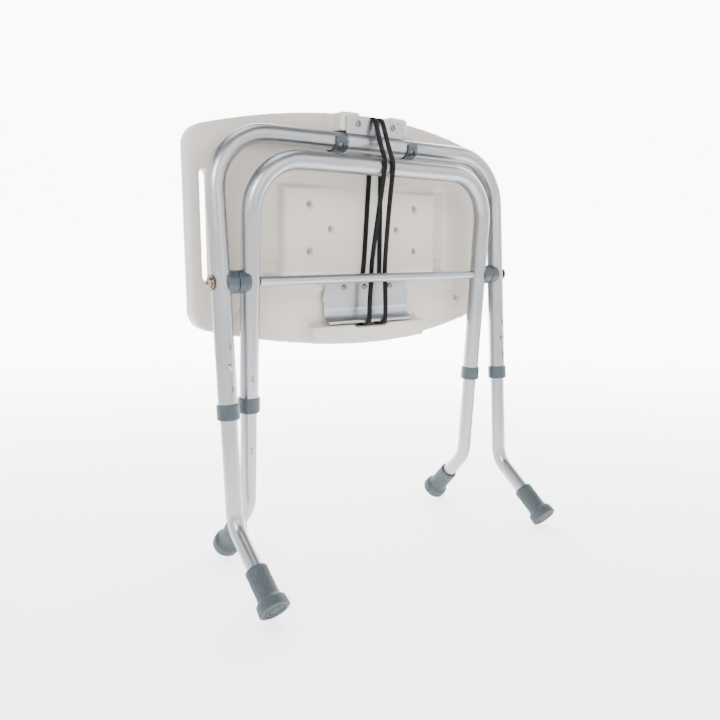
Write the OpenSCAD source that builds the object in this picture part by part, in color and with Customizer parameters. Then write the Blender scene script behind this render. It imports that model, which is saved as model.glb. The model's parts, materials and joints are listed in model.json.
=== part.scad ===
// Folding shower stool: two crossed aluminium U frames that turn on one cross rod, four
// telescopic legs with snap buttons, and a blow-moulded seat that hangs on the taller frame
// and rests on the lower one. Drawn folded and standing, in millimetres.
// +Z is up, +X runs along the cross rod and the underside of the seat faces -Y.

/* [Frame tubes] */
// Outside diameter of the bent upper tubes
tube_od = 25.4; // [24:0.1:26]
// Wall of the upper tubes
tube_wall = 1.6; // [1.2:0.1:1.8]
// Outside diameter of the sliding lower tubes
leg_od = 22; // [20:0.1:22]
// Wall of the lower tubes
leg_wall = 1.4; // [1:0.1:2]
// Distance from the middle to the outer frame's legs
outer_half = 251; // [250.5:0.1:256]
// Distance from the middle to the inner frame's legs
inner_half = 209.2; // [200:0.1:209.4]
// Height of the outer frame's bar above the pivot, along the frame
outer_top = 189.7; // [180:0.1:200]
// Height of the inner frame's bar above the pivot, along the frame
inner_top = 156.9; // [150:0.1:158]
// Corner radius of the outer frame
outer_corner_r = 77; // [60:1:90]
// Corner radius of the inner frame
inner_corner_r = 72; // [60:1:80]
// Lean of the folded outer frame, its top towards the seat
outer_tilt = 3.86; // [3.5:0.01:4.5]
// Lean of the folded inner frame, its top away from the seat
inner_tilt = 4.11; // [3.8:0.01:5]

/* [Legs] */
// Drop from the pivot to the start of the leg bend
bend_drop = 297; // [280:1:310]
// Centre-line radius of the leg bends
leg_bend_r = 40; // [35:1:50]
// Bend of the outer legs
outer_bend = 49.5; // [46:0.5:52]
// Bend of the inner legs
inner_bend = 37.5; // [35:0.5:40]
// Straight length from the outer leg's bend to the foot's base
outer_foot = 109; // [100:1:120]
// Distance between the snap holes
hole_pitch = 27.5; // [25:0.5:30]
// Drop from the pivot to the middle snap hole
hole_drop = 107.5; // [100:0.5:115]

/* [Seat] */
// Half of the seat's length
seat_half = 268; // [262:1:270]
// Half of the seat's depth at the middle
seat_depth = 165.5; // [160:0.5:170]
// Thickness of the seat
seat_thick = 24; // [20:1:28]
// Wall of the hollow seat
seat_wall = 3; // [2:0.5:4]
// Height of the seat's middle above the pivot when folded
seat_mid_z = 67; // [65:1:69]
// Distance from the pivot to the underside of the seat
seat_gap = 29.5; // [29:0.5:31]
// Radius of the crowned long edges
crown_r = 1000; // [800:10:1100]
// Radius of the lengthwise dish
dish_r = 1806; // [1700:1:2000]

/* [Rubber tips] */
// Diameter of the tip's base
tip_base_d = 41; // [36:0.5:41]
// Diameter of the tip's sleeve
tip_sleeve_d = 28.6; // [27:0.1:30]
// Length of the tip
tip_length = 60; // [50:1:65]

/* [Hidden] */
$fn = 96;

tube_r = tube_od / 2;
leg_r = leg_od / 2;
gap = 0.3;             // air between faces on different moving bodies
run = 0.1;             // radial running clearance
bend_lap = 1.2;        // degrees by which a leg's bend runs into its straight ends
bend_thinning = 0.04;  // loss of radius in a leg's bend
tube_end = -172;       // lower end of the upper tubes
collar_top = -155;
collar_end = -175.5;
collar_r = 15;
leg_top = -70;         // upper end of the lower tubes
leg_end_in_tip = 8;    // rubber left under the tube's end
bolt_r = 4;
rod_r = 6.35;
snap_r = 4;
snap_hole_r = 4.3;
sheet = 1.6;           // thickness of the bracket sheet
band_w = 8;            // width of the elastic loops
band_t = 2;            // thickness of the elastic loops
left_band_x = -12;
right_band_x = 22;

// Height that a leg takes up below the pivot, when its frame leans by tilt
function leg_drop(bend, tilt, foot) =
    (bend_drop + leg_bend_r * sin(bend)) * cos(tilt)
    - leg_bend_r * (1 - cos(bend)) * sin(tilt)
    + foot * cos(bend + tilt) + tip_base_d / 2 * sin(bend + tilt);
// Reach of a foot in front of or behind the pivot
function leg_reach(bend, tilt, foot) =
    (bend_drop + leg_bend_r * sin(bend)) * sin(tilt)
    + leg_bend_r * (1 - cos(bend)) * cos(tilt)
    + foot * sin(bend + tilt) + tip_base_d / 2 * cos(bend + tilt);

pivot_z = leg_drop(outer_bend, outer_tilt, outer_foot);
inner_foot = (pivot_z - leg_drop(inner_bend, inner_tilt, 0)) / cos(inner_bend + inner_tilt);
pivot_y = (leg_reach(outer_bend, outer_tilt, outer_foot)
    - leg_reach(inner_bend, inner_tilt, inner_foot)) / 2;
outer_bar = [outer_top * sin(outer_tilt), outer_top * cos(outer_tilt)];
inner_bar = [-inner_top * sin(inner_tilt), inner_top * cos(inner_tilt)];

// Where the inner bar nests under the seat when the stool is open
nest_span = 238.1;
nest = [outer_bar[0], outer_bar[1] - nest_span];

// Points of an arc in a plane
function arc(centre, r, from, to, steps) =
    [for (i = [0 : steps]) let (a = from + (to - from) * i / steps)
        centre + r * [cos(a), sin(a)]];
function reversed(p) = [for (i = [len(p) - 1 : -1 : 0]) p[i]];
// Unit normal at point i of a path
function path_normal(p, i) =
    let (d = p[min(i + 1, len(p) - 1)] - p[max(i - 1, 0)])
    [-d[1], d[0]] / norm(d);
function shifted(p, d) = [for (i = [0 : len(p) - 1]) p[i] + d * path_normal(p, i)];
// Closed outline of a strip of thickness t laid on one side of a path
function strip(p, t) = concat(p, reversed(shifted(p, t)));

module at_pivot() translate([0, pivot_y, pivot_z]) children();
module in_outer() at_pivot() rotate([-outer_tilt, 0, 0]) children();
module in_inner() at_pivot() rotate([inner_tilt, 0, 0]) mirror([0, 1, 0]) children();
module left_side() mirror([1, 0, 0]) children();
module both_sides() {
    children();
    mirror([1, 0, 0]) children();
}
// Draws a cross-section given as [Y, Z], extruded along X
module along_x(x0, x1) translate([x0, 0, 0]) rotate([90, 0, 90]) linear_extrude(x1 - x0) children();
// Draws a plan given as [X, Z], extruded towards +Y
module along_y(y0, y1) translate([0, y1, 0]) rotate([90, 0, 0]) linear_extrude(y1 - y0) children();
module rod_x(x0, x1, r) translate([x0, 0, 0]) rotate([0, 90, 0]) cylinder(h = x1 - x0, r = r);

// ---- Bent tubes ----
module u_solid(half, top, corner_r, r, bottom) {
    both_sides() {
        translate([half, 0, bottom]) cylinder(h = top - corner_r - bottom, r = r);
        translate([half - corner_r, 0, top - corner_r]) rotate([90, 0, 0])
            rotate_extrude(angle = 90) translate([corner_r, 0]) circle(r = r);
    }
    translate([0, 0, top]) rod_x(-(half - corner_r), half - corner_r, r);
}

module upper_tube(half, top, corner_r) {
    difference() {
        u_solid(half, top, corner_r, tube_r, tube_end);
        u_solid(half, top, corner_r, tube_r - tube_wall, tube_end - 1);
        rod_x(-half - tube_od, half + tube_od, bolt_r + run);
        both_sides()
            for (i = [-1 : 1])
                translate([half, 0, -hole_drop + i * hole_pitch]) rotate([90, 0, 0])
                    cylinder(h = tube_od, r = snap_hole_r);
    }
}

module outer_frame_tube() color([0.80, 0.81, 0.83])
    in_outer() upper_tube(outer_half, outer_top, outer_corner_r);
module inner_frame_tube() color([0.80, 0.81, 0.83])
    in_inner() upper_tube(inner_half, inner_top, inner_corner_r);

// Moves to the end of a leg bend, with -Z along the foot
module at_foot(bend)
    translate([0, -leg_bend_r * (1 - cos(bend)), -bend_drop - leg_bend_r * sin(bend)])
        rotate([-bend, 0, 0]) children();

module leg_solid(r, bend, length, over) {
    translate([0, 0, -bend_drop]) cylinder(h = bend_drop + leg_top + over, r = r);
    translate([0, -leg_bend_r, -bend_drop]) rotate([-90, 0, 0]) rotate([0, -90, 0])
        rotate([0, 0, -bend_lap]) rotate_extrude(angle = bend + 2 * bend_lap)
            translate([leg_bend_r, 0]) circle(r = r - bend_thinning);
    at_foot(bend) translate([0, 0, -length - over]) cylinder(h = length + over, r = r);
}

module lower_tube(half, bend, foot) translate([half, 0, 0])
    difference() {
        leg_solid(leg_r, bend, foot - leg_end_in_tip, 0);
        leg_solid(leg_r - leg_wall, bend, foot - leg_end_in_tip, 1);
        translate([0, 0, -hole_drop]) rotate([90, 0, 0]) cylinder(h = leg_od, r = snap_hole_r);
    }

module outer_leg() color([0.78, 0.79, 0.81]) in_outer() lower_tube(outer_half, outer_bend, outer_foot);
module inner_leg() color([0.78, 0.79, 0.81]) in_inner() lower_tube(inner_half, inner_bend, inner_foot);

// ---- Rubber tips ----
base_r = tip_base_d / 2;
sleeve_r = tip_sleeve_d / 2;
flare_h = 12;          // height of the cylindrical base
flare_top = 24;        // where the base narrows to the sleeve
groove_depth = 1.5;
tip_profile = concat(
    [[0, 0], [base_r - 1.5, 0]],
    arc([base_r - 1.5, 1.5], 1.5, -90, 0, 4),
    [[base_r - 0.8, flare_h]],
    arc([base_r - 3.8, flare_h], 3, 0, 60, 4),
    [[sleeve_r + 0.6, flare_top], [sleeve_r, flare_top + 1], [sleeve_r, tip_length - 1.5]],
    arc([sleeve_r - 1.5, tip_length - 1.5], 1.5, 0, 90, 4),
    [[0, tip_length]]
);

module tip(half, bend, foot) translate([half, 0, 0]) at_foot(bend) translate([0, 0, -foot])
    difference() {
        rotate_extrude() polygon(tip_profile);
        translate([0, 0, leg_end_in_tip]) cylinder(h = tip_length, r = leg_r);
        for (r = [6, 12])
            translate([0, 0, -1]) difference() {
                cylinder(h = groove_depth + 1, r = r + 2.5);
                translate([0, 0, -1]) cylinder(h = groove_depth + 3, r = r);
            }
    }

module outer_tip() color([0.36, 0.41, 0.44]) in_outer() tip(outer_half, outer_bend, outer_foot);
module inner_tip() color([0.36, 0.41, 0.44]) in_inner() tip(inner_half, inner_bend, inner_foot);

// ---- Collars at the foot of the upper tubes ----
module collar(half) translate([half, 0, collar_end])
    difference() {
        rotate_extrude() polygon(concat(
            [[0, 0], [collar_r - 1.5, 0]],
            arc([collar_r - 1.5, 1.5], 1.5, -90, 0, 4),
            arc([collar_r - 1, collar_top - collar_end - 1], 1, 0, 90, 4),
            [[0, collar_top - collar_end]]
        ));
        translate([0, 0, -1]) cylinder(h = 30, r = leg_r + run);
        translate([0, 0, tube_end - collar_end]) cylinder(h = 30, r = tube_r);
    }

module outer_collar() color([0.37, 0.44, 0.48]) in_outer() collar(outer_half);
module inner_collar() color([0.37, 0.44, 0.48]) in_inner() collar(inner_half);

// ---- Snap buttons, each on its bent spring strip inside the lower tube ----
snap_out = 2.6;        // how far a button stands out of the upper tube
strip_half = 4;
strip_t = 0.8;
strip_y = -(leg_r - leg_wall) + 1.3;
strip_far_y = leg_r - leg_wall - 1.3;
strip_down = -34;
v_path = [[strip_y, 9], [strip_y, -9], [-3.2, strip_down + 3], [0, strip_down],
    [3.2, strip_down + 3], [strip_far_y - strip_t, -4]];

module snap(half) translate([half, 0, -hole_drop]) {
    rotate([90, 0, 0]) {
        translate([0, 0, -strip_y - strip_t]) cylinder(h = tube_r + snap_out - 1.6 + strip_y + strip_t, r = snap_r);
        translate([0, 0, tube_r + snap_out - 1.6]) intersection() {
            cylinder(h = 1.6, r = snap_r);
            translate([0, 0, 1.6 - 6.5]) sphere(r = 6.5);
        }
    }
    along_x(-strip_half, strip_half) polygon(strip(v_path, strip_t));
}

module outer_snap() color([0.72, 0.73, 0.75]) in_outer() snap(outer_half);
module inner_snap() color([0.72, 0.73, 0.75]) in_inner() snap(inner_half);

// ---- Pivot: cross rod, bolts, washers and tube spacers ----
rod_half = inner_half - tube_r - gap;
washer_t = 1.6;
washer_x = outer_half + tube_r + gap;
bolt_depth = 22;
head_h = 3.6;
head_r = 7;

module cross_rod() color([0.80, 0.81, 0.83]) at_pivot()
    difference() {
        rod_x(-rod_half, rod_half, rod_r);
        both_sides() rod_x(rod_half - bolt_depth, rod_half + 1, bolt_r);
    }

module pivot_bolt() color([0.66, 0.67, 0.68]) at_pivot()
    difference() {
        union() {
            rod_x(rod_half - bolt_depth, washer_x + washer_t, bolt_r);
            translate([washer_x + washer_t, 0, 0]) rotate([0, 90, 0]) rotate_extrude()
                polygon(concat([[0, 0], [head_r, 0], [head_r, 0.6]],
                    arc([head_r - 3, 0.6], 3, 0, 90, 8), [[0, head_h]]));
        }
        translate([washer_x + washer_t + head_h - 2.2, 0, 0]) rotate([0, 90, 0])
            cylinder(h = 5, r = 2.5, $fn = 6);
    }

module pivot_washer() color([0.70, 0.71, 0.72]) at_pivot()
    difference() {
        rod_x(washer_x, washer_x + washer_t, 10);
        rod_x(washer_x - 1, washer_x + washer_t + 1, bolt_r);
    }

spacer_r = 15;
spacer_split = (outer_half + inner_half) / 2;
spacer_cup = 9;        // how far a spacer reaches round its tube, from the tube's near side
spacer_round = 2.4;

module spacer(x0, x1, half) difference() {
    translate([x0, 0, 0]) rotate([0, 90, 0]) rotate_extrude() polygon(concat(
        [[0, 0]], arc([spacer_r - spacer_round, spacer_round], spacer_round, -90, 0, 5),
        arc([spacer_r - spacer_round, x1 - x0 - spacer_round], spacer_round, 0, 90, 5),
        [[0, x1 - x0]]
    ));
    translate([half, 0, -spacer_r * 2]) cylinder(h = spacer_r * 4, r = tube_r);
    rod_x(x0 - 1, x1 + 1, bolt_r + run);
}

module outer_spacer() color([0.37, 0.44, 0.48]) in_outer()
    spacer(spacer_split + gap / 2, outer_half - tube_r + spacer_cup, outer_half);
module inner_spacer() color([0.37, 0.44, 0.48]) in_inner()
    spacer(inner_half + tube_r - spacer_cup, spacer_split - gap / 2, inner_half);

// ---- Plastic clips that keep the saddle centred on the outer bar ----
clip_from = 55.5;
clip_to = 73;
clip_t = 2.6;

module bar_clip() color([0.37, 0.44, 0.48]) at_pivot() translate([0, outer_bar[0], outer_bar[1]])
    difference() {
        along_x(clip_from, clip_to)
            polygon(strip(arc([0, 0], tube_r, 160, 370, 42), -clip_t));
        translate([(clip_from + clip_to) / 2, 0, 0]) rotate([32, 0, 0]) rotate([90, 0, 0])
            cylinder(h = tube_od, r = 4.6);
    }

// ---- Saddle bracket: hangs the seat's edge on the outer bar ----
saddle_half = 52;
flange_y = 4.4;        // front face of the saddle's flange
flange_top = 224;
saddle_screw_x = 31;
saddle_screw_z = 215;
cradle_r = tube_r + gap;
cradle_back = seat_gap - band_t - 1.5;
cradle_start = acos((flange_y + sheet - outer_bar[0]) / cradle_r);
saddle_path = concat(
    [[flange_y + sheet, flange_top]],
    arc(outer_bar, cradle_r, cradle_start, 270, 30),
    [[cradle_back, outer_bar[1] - cradle_r]]
);

module saddle_bracket() color([0.80, 0.81, 0.82]) at_pivot()
    difference() {
        along_x(-saddle_half, saddle_half) polygon(strip(saddle_path, -sheet));
        for (s = [-1, 1])
            translate([s * saddle_screw_x, 0, saddle_screw_z]) rotate([90, 0, 0])
                cylinder(h = 40, r = 2.1, center = true);
    }

module pan_screw(x, y, z, shank) translate([x, y, z]) rotate([90, 0, 0])
    difference() {
        union() {
            rotate_extrude() polygon(concat([[0, 0], [4.4, 0]],
                arc([2.2, 0], 2.2, 0, 90, 8), [[0, 2.2]]));
            translate([0, 0, -shank]) cylinder(h = shank, r = 2.1);
        }
        for (a = [0, 90])
            rotate([0, 0, a]) translate([-2.2, -0.5, 1]) cube([4.4, 1, 3]);
    }

module saddle_screws() color([0.72, 0.68, 0.60]) at_pivot()
    for (s = [-1, 1])
        pan_screw(s * saddle_screw_x, flange_y, saddle_screw_z, sheet);

// ---- Trough bracket: the inner bar nests in it when the stool is open ----
trough_half = 78;
trough_top = -6;
// The flange stands back so that the bar clears the screw heads on its way in
trough_flange_top_y = 24.4;
trough_flange_low = [25.4, -34];
lip_down = 4;
trough_screw_z = -14;
trough_screw_x = [-43, -5, 43];
nest_r = tube_r + gap;
lip_start = nest + nest_r * [cos(-88), sin(-88)];
trough_path = concat(
    [[trough_flange_top_y, trough_top], trough_flange_low],
    arc(nest, nest_r, 20, -88, 20),
    [lip_start + [-1.2, -0.4], lip_start + [-1.6, -lip_down]]
);

module trough_bracket() color([0.80, 0.81, 0.82]) at_pivot()
    difference() {
        intersection() {
            along_x(-trough_half - 3, trough_half + 3) polygon(strip(trough_path, sheet));
            along_y(-20, 60) polygon([
                [-73.5, trough_top + 1], [73.5, trough_top + 1], [80.5, -30],
                [trough_half, -36], [trough_half, -70], [-trough_half, -70],
                [-trough_half, -36], [-80.5, -30]
            ]);
        }
        for (x = trough_screw_x)
            translate([x, 0, trough_screw_z]) rotate([90, 0, 0])
                cylinder(h = 80, r = 2.1, center = true);
    }

trough_face_y = trough_flange_top_y
    + (trough_flange_low[0] - trough_flange_top_y) * (trough_screw_z - trough_top)
    / (trough_flange_low[1] - trough_top);

module trough_screws() color([0.72, 0.68, 0.60]) at_pivot()
    for (x = trough_screw_x)
        pan_screw(x, trough_face_y - 0.4, trough_screw_z, 12);

// ---- Elastic loops from the saddle's flange to the trough's lip ----
band_back_y = seat_gap - band_t - 0.3;
band_front = inner_bar[0] - tube_r - gap;
loop_outer = [
    [flange_y - 0.3, flange_top + 0.3], [band_front, inner_bar[1] + 7],
    [band_front, inner_bar[1] - 7], [rod_r + gap + band_t, 16], [rod_r + gap + band_t, -16],
    [nest[0] - 4.6, -60], [nest[0] - 4.6, -68.5]
];
loop_back = [
    [band_back_y + 1.4, -68.5], [band_back_y + 1.4, -34], [band_back_y - 0.2, 4],
    [band_back_y - 0.2, 205], [flange_y + sheet + 4, flange_top + 0.4]
];
module band(x) color([0.05, 0.05, 0.06]) at_pivot()
    along_x(x - band_w / 2, x + band_w / 2)
        difference() {
            polygon(concat(loop_front(-band_t), loop_rear(band_t)));
            polygon(concat(loop_front(0), loop_rear(0)));
        }
function loop_front(d) = [for (p = loop_outer) p + [d, p[1] > 200 ? -d : p[1] < -60 ? d : 0]];
function loop_rear(d) = [for (p = loop_back) p + [d < 0 ? 0 : d, p[1] > 215 ? d : p[1] < -60 ? -d : 0]];

module elastic_loop_left() band(left_band_x);
module elastic_loop_right() band(right_band_x);

// ---- Seat ----
corner_r = 27;
crown_mid = seat_depth - crown_r;
corner_z = crown_mid + sqrt(pow(crown_r - corner_r, 2) - pow(seat_half - corner_r, 2));
corner_turn = atan2(corner_z - crown_mid, seat_half - corner_r);

// Quarter of the outline, drawn in by inset, from the end to the middle of a long edge
function seat_quarter(inset) = concat(
    arc([seat_half - corner_r, corner_z], corner_r - inset, 0, corner_turn, 8),
    arc([0, crown_mid], crown_r - inset, corner_turn, 90, 10)
);
module seat_plan(inset) translate([0, seat_mid_z])
    for (sx = [0, 1], sz = [0, 1])
        mirror([sx, 0]) mirror([0, sz])
            polygon(concat([[0, 0], [seat_half - inset, 0]], seat_quarter(inset)));

module dished_slab(inset) intersection() {
    along_y(0, 100) seat_plan(inset);
    translate([0, seat_gap + dish_r, -150]) difference() {
        cylinder(h = 500, r = dish_r - inset, $fn = 1440);
        translate([0, 0, -1]) cylinder(h = 502, r = dish_r - seat_thick + inset, $fn = 1440);
    }
}

slot_x = 246;
slot_w = 14;
slot_low = -2;
slot_high = 145;
drain_spots = [[97, 104], [61, 71], [97, 38.5]];
drain_r = 4.5;
channel_in = 142;
channel_out = 170;
channel_low = 24;
channel_high = 135;
channel_deep = 12;
deep_hole = [200, -39];

// Hollows of the seat; each is grown by the wall where the inside is made
module hand_slots(grow) both_sides() along_y(0, 120) {
    translate([slot_x - slot_w / 2 - grow, slot_low + slot_w / 2])
        square([slot_w + 2 * grow, slot_high - slot_low - slot_w]);
    for (z = [slot_low + slot_w / 2, slot_high - slot_w / 2])
        translate([slot_x, z]) circle(r = slot_w / 2 + grow);
}
module drains(grow) both_sides() along_y(0, 120)
    for (p = drain_spots) translate(p) circle(r = drain_r + grow);
module channels(grow) both_sides() along_y(0, seat_gap + channel_deep + grow)
    translate([channel_in - grow, channel_low - grow])
        square([channel_out - channel_in + 2 * grow, channel_high - channel_low + 2 * grow]);
module deep_holes(grow) both_sides() along_y(0, seat_gap + 20 + grow)
    translate(deep_hole) circle(r = 5 + grow);
// Hollow behind the trough, which clears the loops
module trough_recess(grow) along_y(0, seat_gap + 3 + grow)
    translate([-30 - grow, -72 - grow]) square([60 + 2 * grow, 68 + 2 * grow]);
module hollows(grow) {
    hand_slots(grow);
    drains(grow);
    channels(grow);
    deep_holes(grow);
    trough_recess(grow);
}

pad_half = 60;
ridge_half = 104;
ridge_y = 13;

// Raised parts of the underside: the pad under the saddle, the trough's rest and the ridge
module raised_parts() {
    intersection() {
        difference() {
            union() {
                along_y(flange_y + sheet + gap, 40) translate([-pad_half, 204])
                    square([2 * pad_half, 40]);
                along_y(ridge_y, 40) translate([-ridge_half, -110]) square([2 * ridge_half, 42]);
            }
            along_y(0, seat_gap) translate([-27, 200]) square([54, 60]);
        }
        along_y(0, 60) seat_plan(1);
    }
    along_x(-72, 72) polygon([
        [trough_flange_top_y + sheet + 0.05, trough_top], [seat_gap + 1, trough_top],
        [seat_gap + 1, -33], [trough_face_y + sheet + 1.2, -26]
    ]);
}

module seat() color([0.83, 0.81, 0.79]) at_pivot()
    difference() {
        union() {
            dished_slab(0);
            difference() {
                raised_parts();
                trough_recess(0);
            }
        }
        hollows(0);
        difference() {
            dished_slab(seat_wall);
            hollows(seat_wall);
        }
        for (x = trough_screw_x)
            translate([x, 0, trough_screw_z]) rotate([90, 0, 0])
                cylinder(h = 90, r = 2.1, center = true);
    }

cross_rod();
left_side() pivot_bolt();  // pivot_bolt_left
pivot_bolt();  // pivot_bolt_right
left_side() pivot_washer();  // pivot_washer_left
pivot_washer();  // pivot_washer_right
outer_frame_tube();
inner_frame_tube();
left_side() outer_spacer();  // outer_spacer_left
outer_spacer();  // outer_spacer_right
left_side() inner_spacer();  // inner_spacer_left
inner_spacer();  // inner_spacer_right
left_side() bar_clip();  // bar_clip_left
bar_clip();  // bar_clip_right
left_side() outer_collar();  // outer_collar_left
outer_collar();  // outer_collar_right
left_side() inner_collar();  // inner_collar_left
inner_collar();  // inner_collar_right
left_side() outer_leg();  // outer_leg_left
outer_leg();  // outer_leg_right
left_side() inner_leg();  // inner_leg_left
inner_leg();  // inner_leg_right
left_side() outer_tip();  // outer_tip_left
outer_tip();  // outer_tip_right
left_side() inner_tip();  // inner_tip_left
inner_tip();  // inner_tip_right
left_side() outer_snap();  // outer_snap_left
outer_snap();  // outer_snap_right
left_side() inner_snap();  // inner_snap_left
inner_snap();  // inner_snap_right
saddle_bracket();
saddle_screws();
trough_bracket();
trough_screws();
elastic_loop_left();
elastic_loop_right();
seat();
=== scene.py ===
"""Folding shower stool: the looks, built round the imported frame."""
import json
import math

import bmesh
import bpy
from bpy.props import FloatProperty, FloatVectorProperty, IntProperty, PointerProperty
from mathutils import Euler, Matrix, Vector
from mathutils.geometry import interpolate_bezier


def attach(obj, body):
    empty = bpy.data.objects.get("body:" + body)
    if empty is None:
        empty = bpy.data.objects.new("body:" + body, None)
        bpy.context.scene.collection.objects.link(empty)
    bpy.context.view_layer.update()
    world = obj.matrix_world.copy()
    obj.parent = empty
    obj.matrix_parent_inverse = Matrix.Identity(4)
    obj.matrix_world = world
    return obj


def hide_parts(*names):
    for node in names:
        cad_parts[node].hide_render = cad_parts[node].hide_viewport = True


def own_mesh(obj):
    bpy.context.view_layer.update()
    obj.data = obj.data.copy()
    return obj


bl_info = {
    "name": "Folding Shower Stool",
    "version": (1, 0, 0),
    "blender": (4, 5, 0),
    "location": "View3D > Sidebar > Stool",
    "description": "Builds the seat, tips, loops, finishes and studio of a folding shower stool",
    "category": "Add Mesh",
}

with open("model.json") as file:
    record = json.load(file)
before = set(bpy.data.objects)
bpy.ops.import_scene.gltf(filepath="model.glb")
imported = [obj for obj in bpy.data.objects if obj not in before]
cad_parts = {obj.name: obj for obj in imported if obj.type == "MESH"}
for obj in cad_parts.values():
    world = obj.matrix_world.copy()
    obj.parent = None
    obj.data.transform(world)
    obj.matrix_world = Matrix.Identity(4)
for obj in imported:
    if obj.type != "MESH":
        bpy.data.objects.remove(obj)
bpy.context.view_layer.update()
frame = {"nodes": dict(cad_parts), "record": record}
NODES = frame["nodes"]
RECORD = frame["record"]
JOINTS = {j["name"]: j for j in RECORD["behaviour"]["joints"]}
MOUNTS = {m["name"]: m for m in RECORD["mounts"]}
PIVOT = Vector(JOINTS["frame_fold"]["pos_m"])
MM = 0.001


def at(x, y, z):
    """A place given in millimetres from the middle of the cross rod."""
    return PIVOT + Vector((x, y, z)) * MM


# ---------------------------------------------------------------- settings


class StoolColours(bpy.types.PropertyGroup):
    """Colours of the finishes"""

    seat: FloatVectorProperty(
        name="Seat", description="Moulded seat", subtype="COLOR", size=3, default=(0.475, 0.435, 0.39)
    )
    metal: FloatVectorProperty(
        name="Metal", description="Anodised tube", subtype="COLOR", size=3, default=(0.31, 0.32, 0.335)
    )
    plastic: FloatVectorProperty(
        name="Plastic", description="Collars, spacers and clips", subtype="COLOR", size=3,
        default=(0.022, 0.034, 0.043),
    )
    rubber: FloatVectorProperty(
        name="Rubber", description="Tips of the legs", subtype="COLOR", size=3,
        default=(0.032, 0.043, 0.051),
    )
    zinc: FloatVectorProperty(
        name="Zinc", description="Screws, bolts and washers", subtype="COLOR", size=3,
        default=(0.22, 0.18, 0.13),
    )
    elastic: FloatVectorProperty(
        name="Elastic", description="Loops under the seat", subtype="COLOR", size=3,
        default=(0.004, 0.004, 0.005),
    )


class StoolSizes(bpy.types.PropertyGroup):
    """Sizes of the pieces that the frame doesn't set"""

    voxel: FloatProperty(
        name="Seat voxel", description="Grid of the seat's mesh", default=0.0023, unit="LENGTH"
    )
    soften: IntProperty(name="Seat softening", description="Rounds of smoothing", default=7)
    loop_width: FloatProperty(
        name="Loop width", description="Width of an elastic loop", default=0.0078, unit="LENGTH"
    )
    loop_thick: FloatProperty(
        name="Loop thickness", description="Thickness of an elastic loop", default=0.0018, unit="LENGTH"
    )
    tip_ribs: IntProperty(name="Tip ribs", description="Grip ribs round a rubber tip", default=18)
    mark_height: FloatProperty(
        name="Mark height", description="Height of the stamped number", default=0.010, unit="LENGTH"
    )
    room_glow: FloatProperty(name="Room glow", description="Light of the walls all round", default=0.12)
    floor_glow: FloatProperty(name="Floor glow", description="Light of the floor near by", default=1.9)
    back_glow: FloatProperty(name="Back glow", description="Light of the wall behind", default=7.0)


def colours():
    return bpy.context.scene.stool_colours


def sizes():
    return bpy.context.scene.stool_sizes


# ---------------------------------------------------------------- node helpers


def new_group(name, kind, inputs, outputs):
    """An empty node group with named sockets, and its input and output nodes."""
    group = bpy.data.node_groups.new(name, kind)
    for label, socket, value in inputs:
        made = group.interface.new_socket(label, in_out="INPUT", socket_type=socket)
        if value is not None:
            made.default_value = value
    for label, socket in outputs:
        group.interface.new_socket(label, in_out="OUTPUT", socket_type=socket)
    return group, group.nodes.new("NodeGroupInput"), group.nodes.new("NodeGroupOutput")


def add(tree, kind, **settings):
    """A node with its attributes or inputs set by name."""
    node = tree.nodes.new(kind)
    for key, value in settings.items():
        if hasattr(node, key):
            setattr(node, key, value)
        else:
            node.inputs[key.replace("_", " ")].default_value = value
    return node


def moulded_skin_group():
    """Fine pebbling and slow mottling that every finish shares."""
    floats = "NodeSocketFloat"
    group, inp, out = new_group(
        "moulded_skin",
        "ShaderNodeTree",
        [("Vector", "NodeSocketVector", None), ("Pebble Scale", floats, 900.0),
         ("Mottle Scale", floats, 18.0), ("Mottle", floats, 0.06)],
        [("Height", floats), ("Tone", floats)],
    )
    pebble = add(group, "ShaderNodeTexNoise", Detail=3.0, Roughness=0.6)
    mottle = add(group, "ShaderNodeTexNoise", Detail=5.0, Roughness=0.55)
    spread = add(group, "ShaderNodeMath", operation="MULTIPLY")
    centred = add(group, "ShaderNodeMath", operation="SUBTRACT")
    centred.inputs[1].default_value = 0.5
    lifted = add(group, "ShaderNodeMath", operation="ADD")
    lifted.inputs[1].default_value = 1.0
    link = group.links.new
    link(inp.outputs["Vector"], pebble.inputs["Vector"])
    link(inp.outputs["Vector"], mottle.inputs["Vector"])
    link(inp.outputs["Pebble Scale"], pebble.inputs["Scale"])
    link(inp.outputs["Mottle Scale"], mottle.inputs["Scale"])
    link(mottle.outputs["Fac"], centred.inputs[0])
    link(centred.outputs[0], spread.inputs[0])
    link(inp.outputs["Mottle"], spread.inputs[1])
    link(spread.outputs[0], lifted.inputs[0])
    link(pebble.outputs["Fac"], out.inputs["Height"])
    link(lifted.outputs[0], out.inputs["Tone"])
    return group


def edge_rub_group():
    """Mask of the worn, paler convex edges, broken up by noise."""
    floats = "NodeSocketFloat"
    group, inp, out = new_group(
        "edge_rub", "ShaderNodeTree",
        [("Vector", "NodeSocketVector", None), ("Low", floats, 0.52), ("High", floats, 0.62)],
        [("Mask", floats)],
    )
    geometry = group.nodes.new("ShaderNodeNewGeometry")
    noise = add(group, "ShaderNodeTexNoise", Scale=140.0, Detail=4.0)
    ramp = add(group, "ShaderNodeMapRange")
    broken = add(group, "ShaderNodeMath", operation="MULTIPLY")
    link = group.links.new
    link(inp.outputs["Vector"], noise.inputs["Vector"])
    link(geometry.outputs["Pointiness"], ramp.inputs["Value"])
    link(inp.outputs["Low"], ramp.inputs["From Min"])
    link(inp.outputs["High"], ramp.inputs["From Max"])
    link(ramp.outputs["Result"], broken.inputs[0])
    link(noise.outputs["Fac"], broken.inputs[1])
    link(broken.outputs[0], out.inputs["Mask"])
    return group


GROUPS = {}


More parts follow.
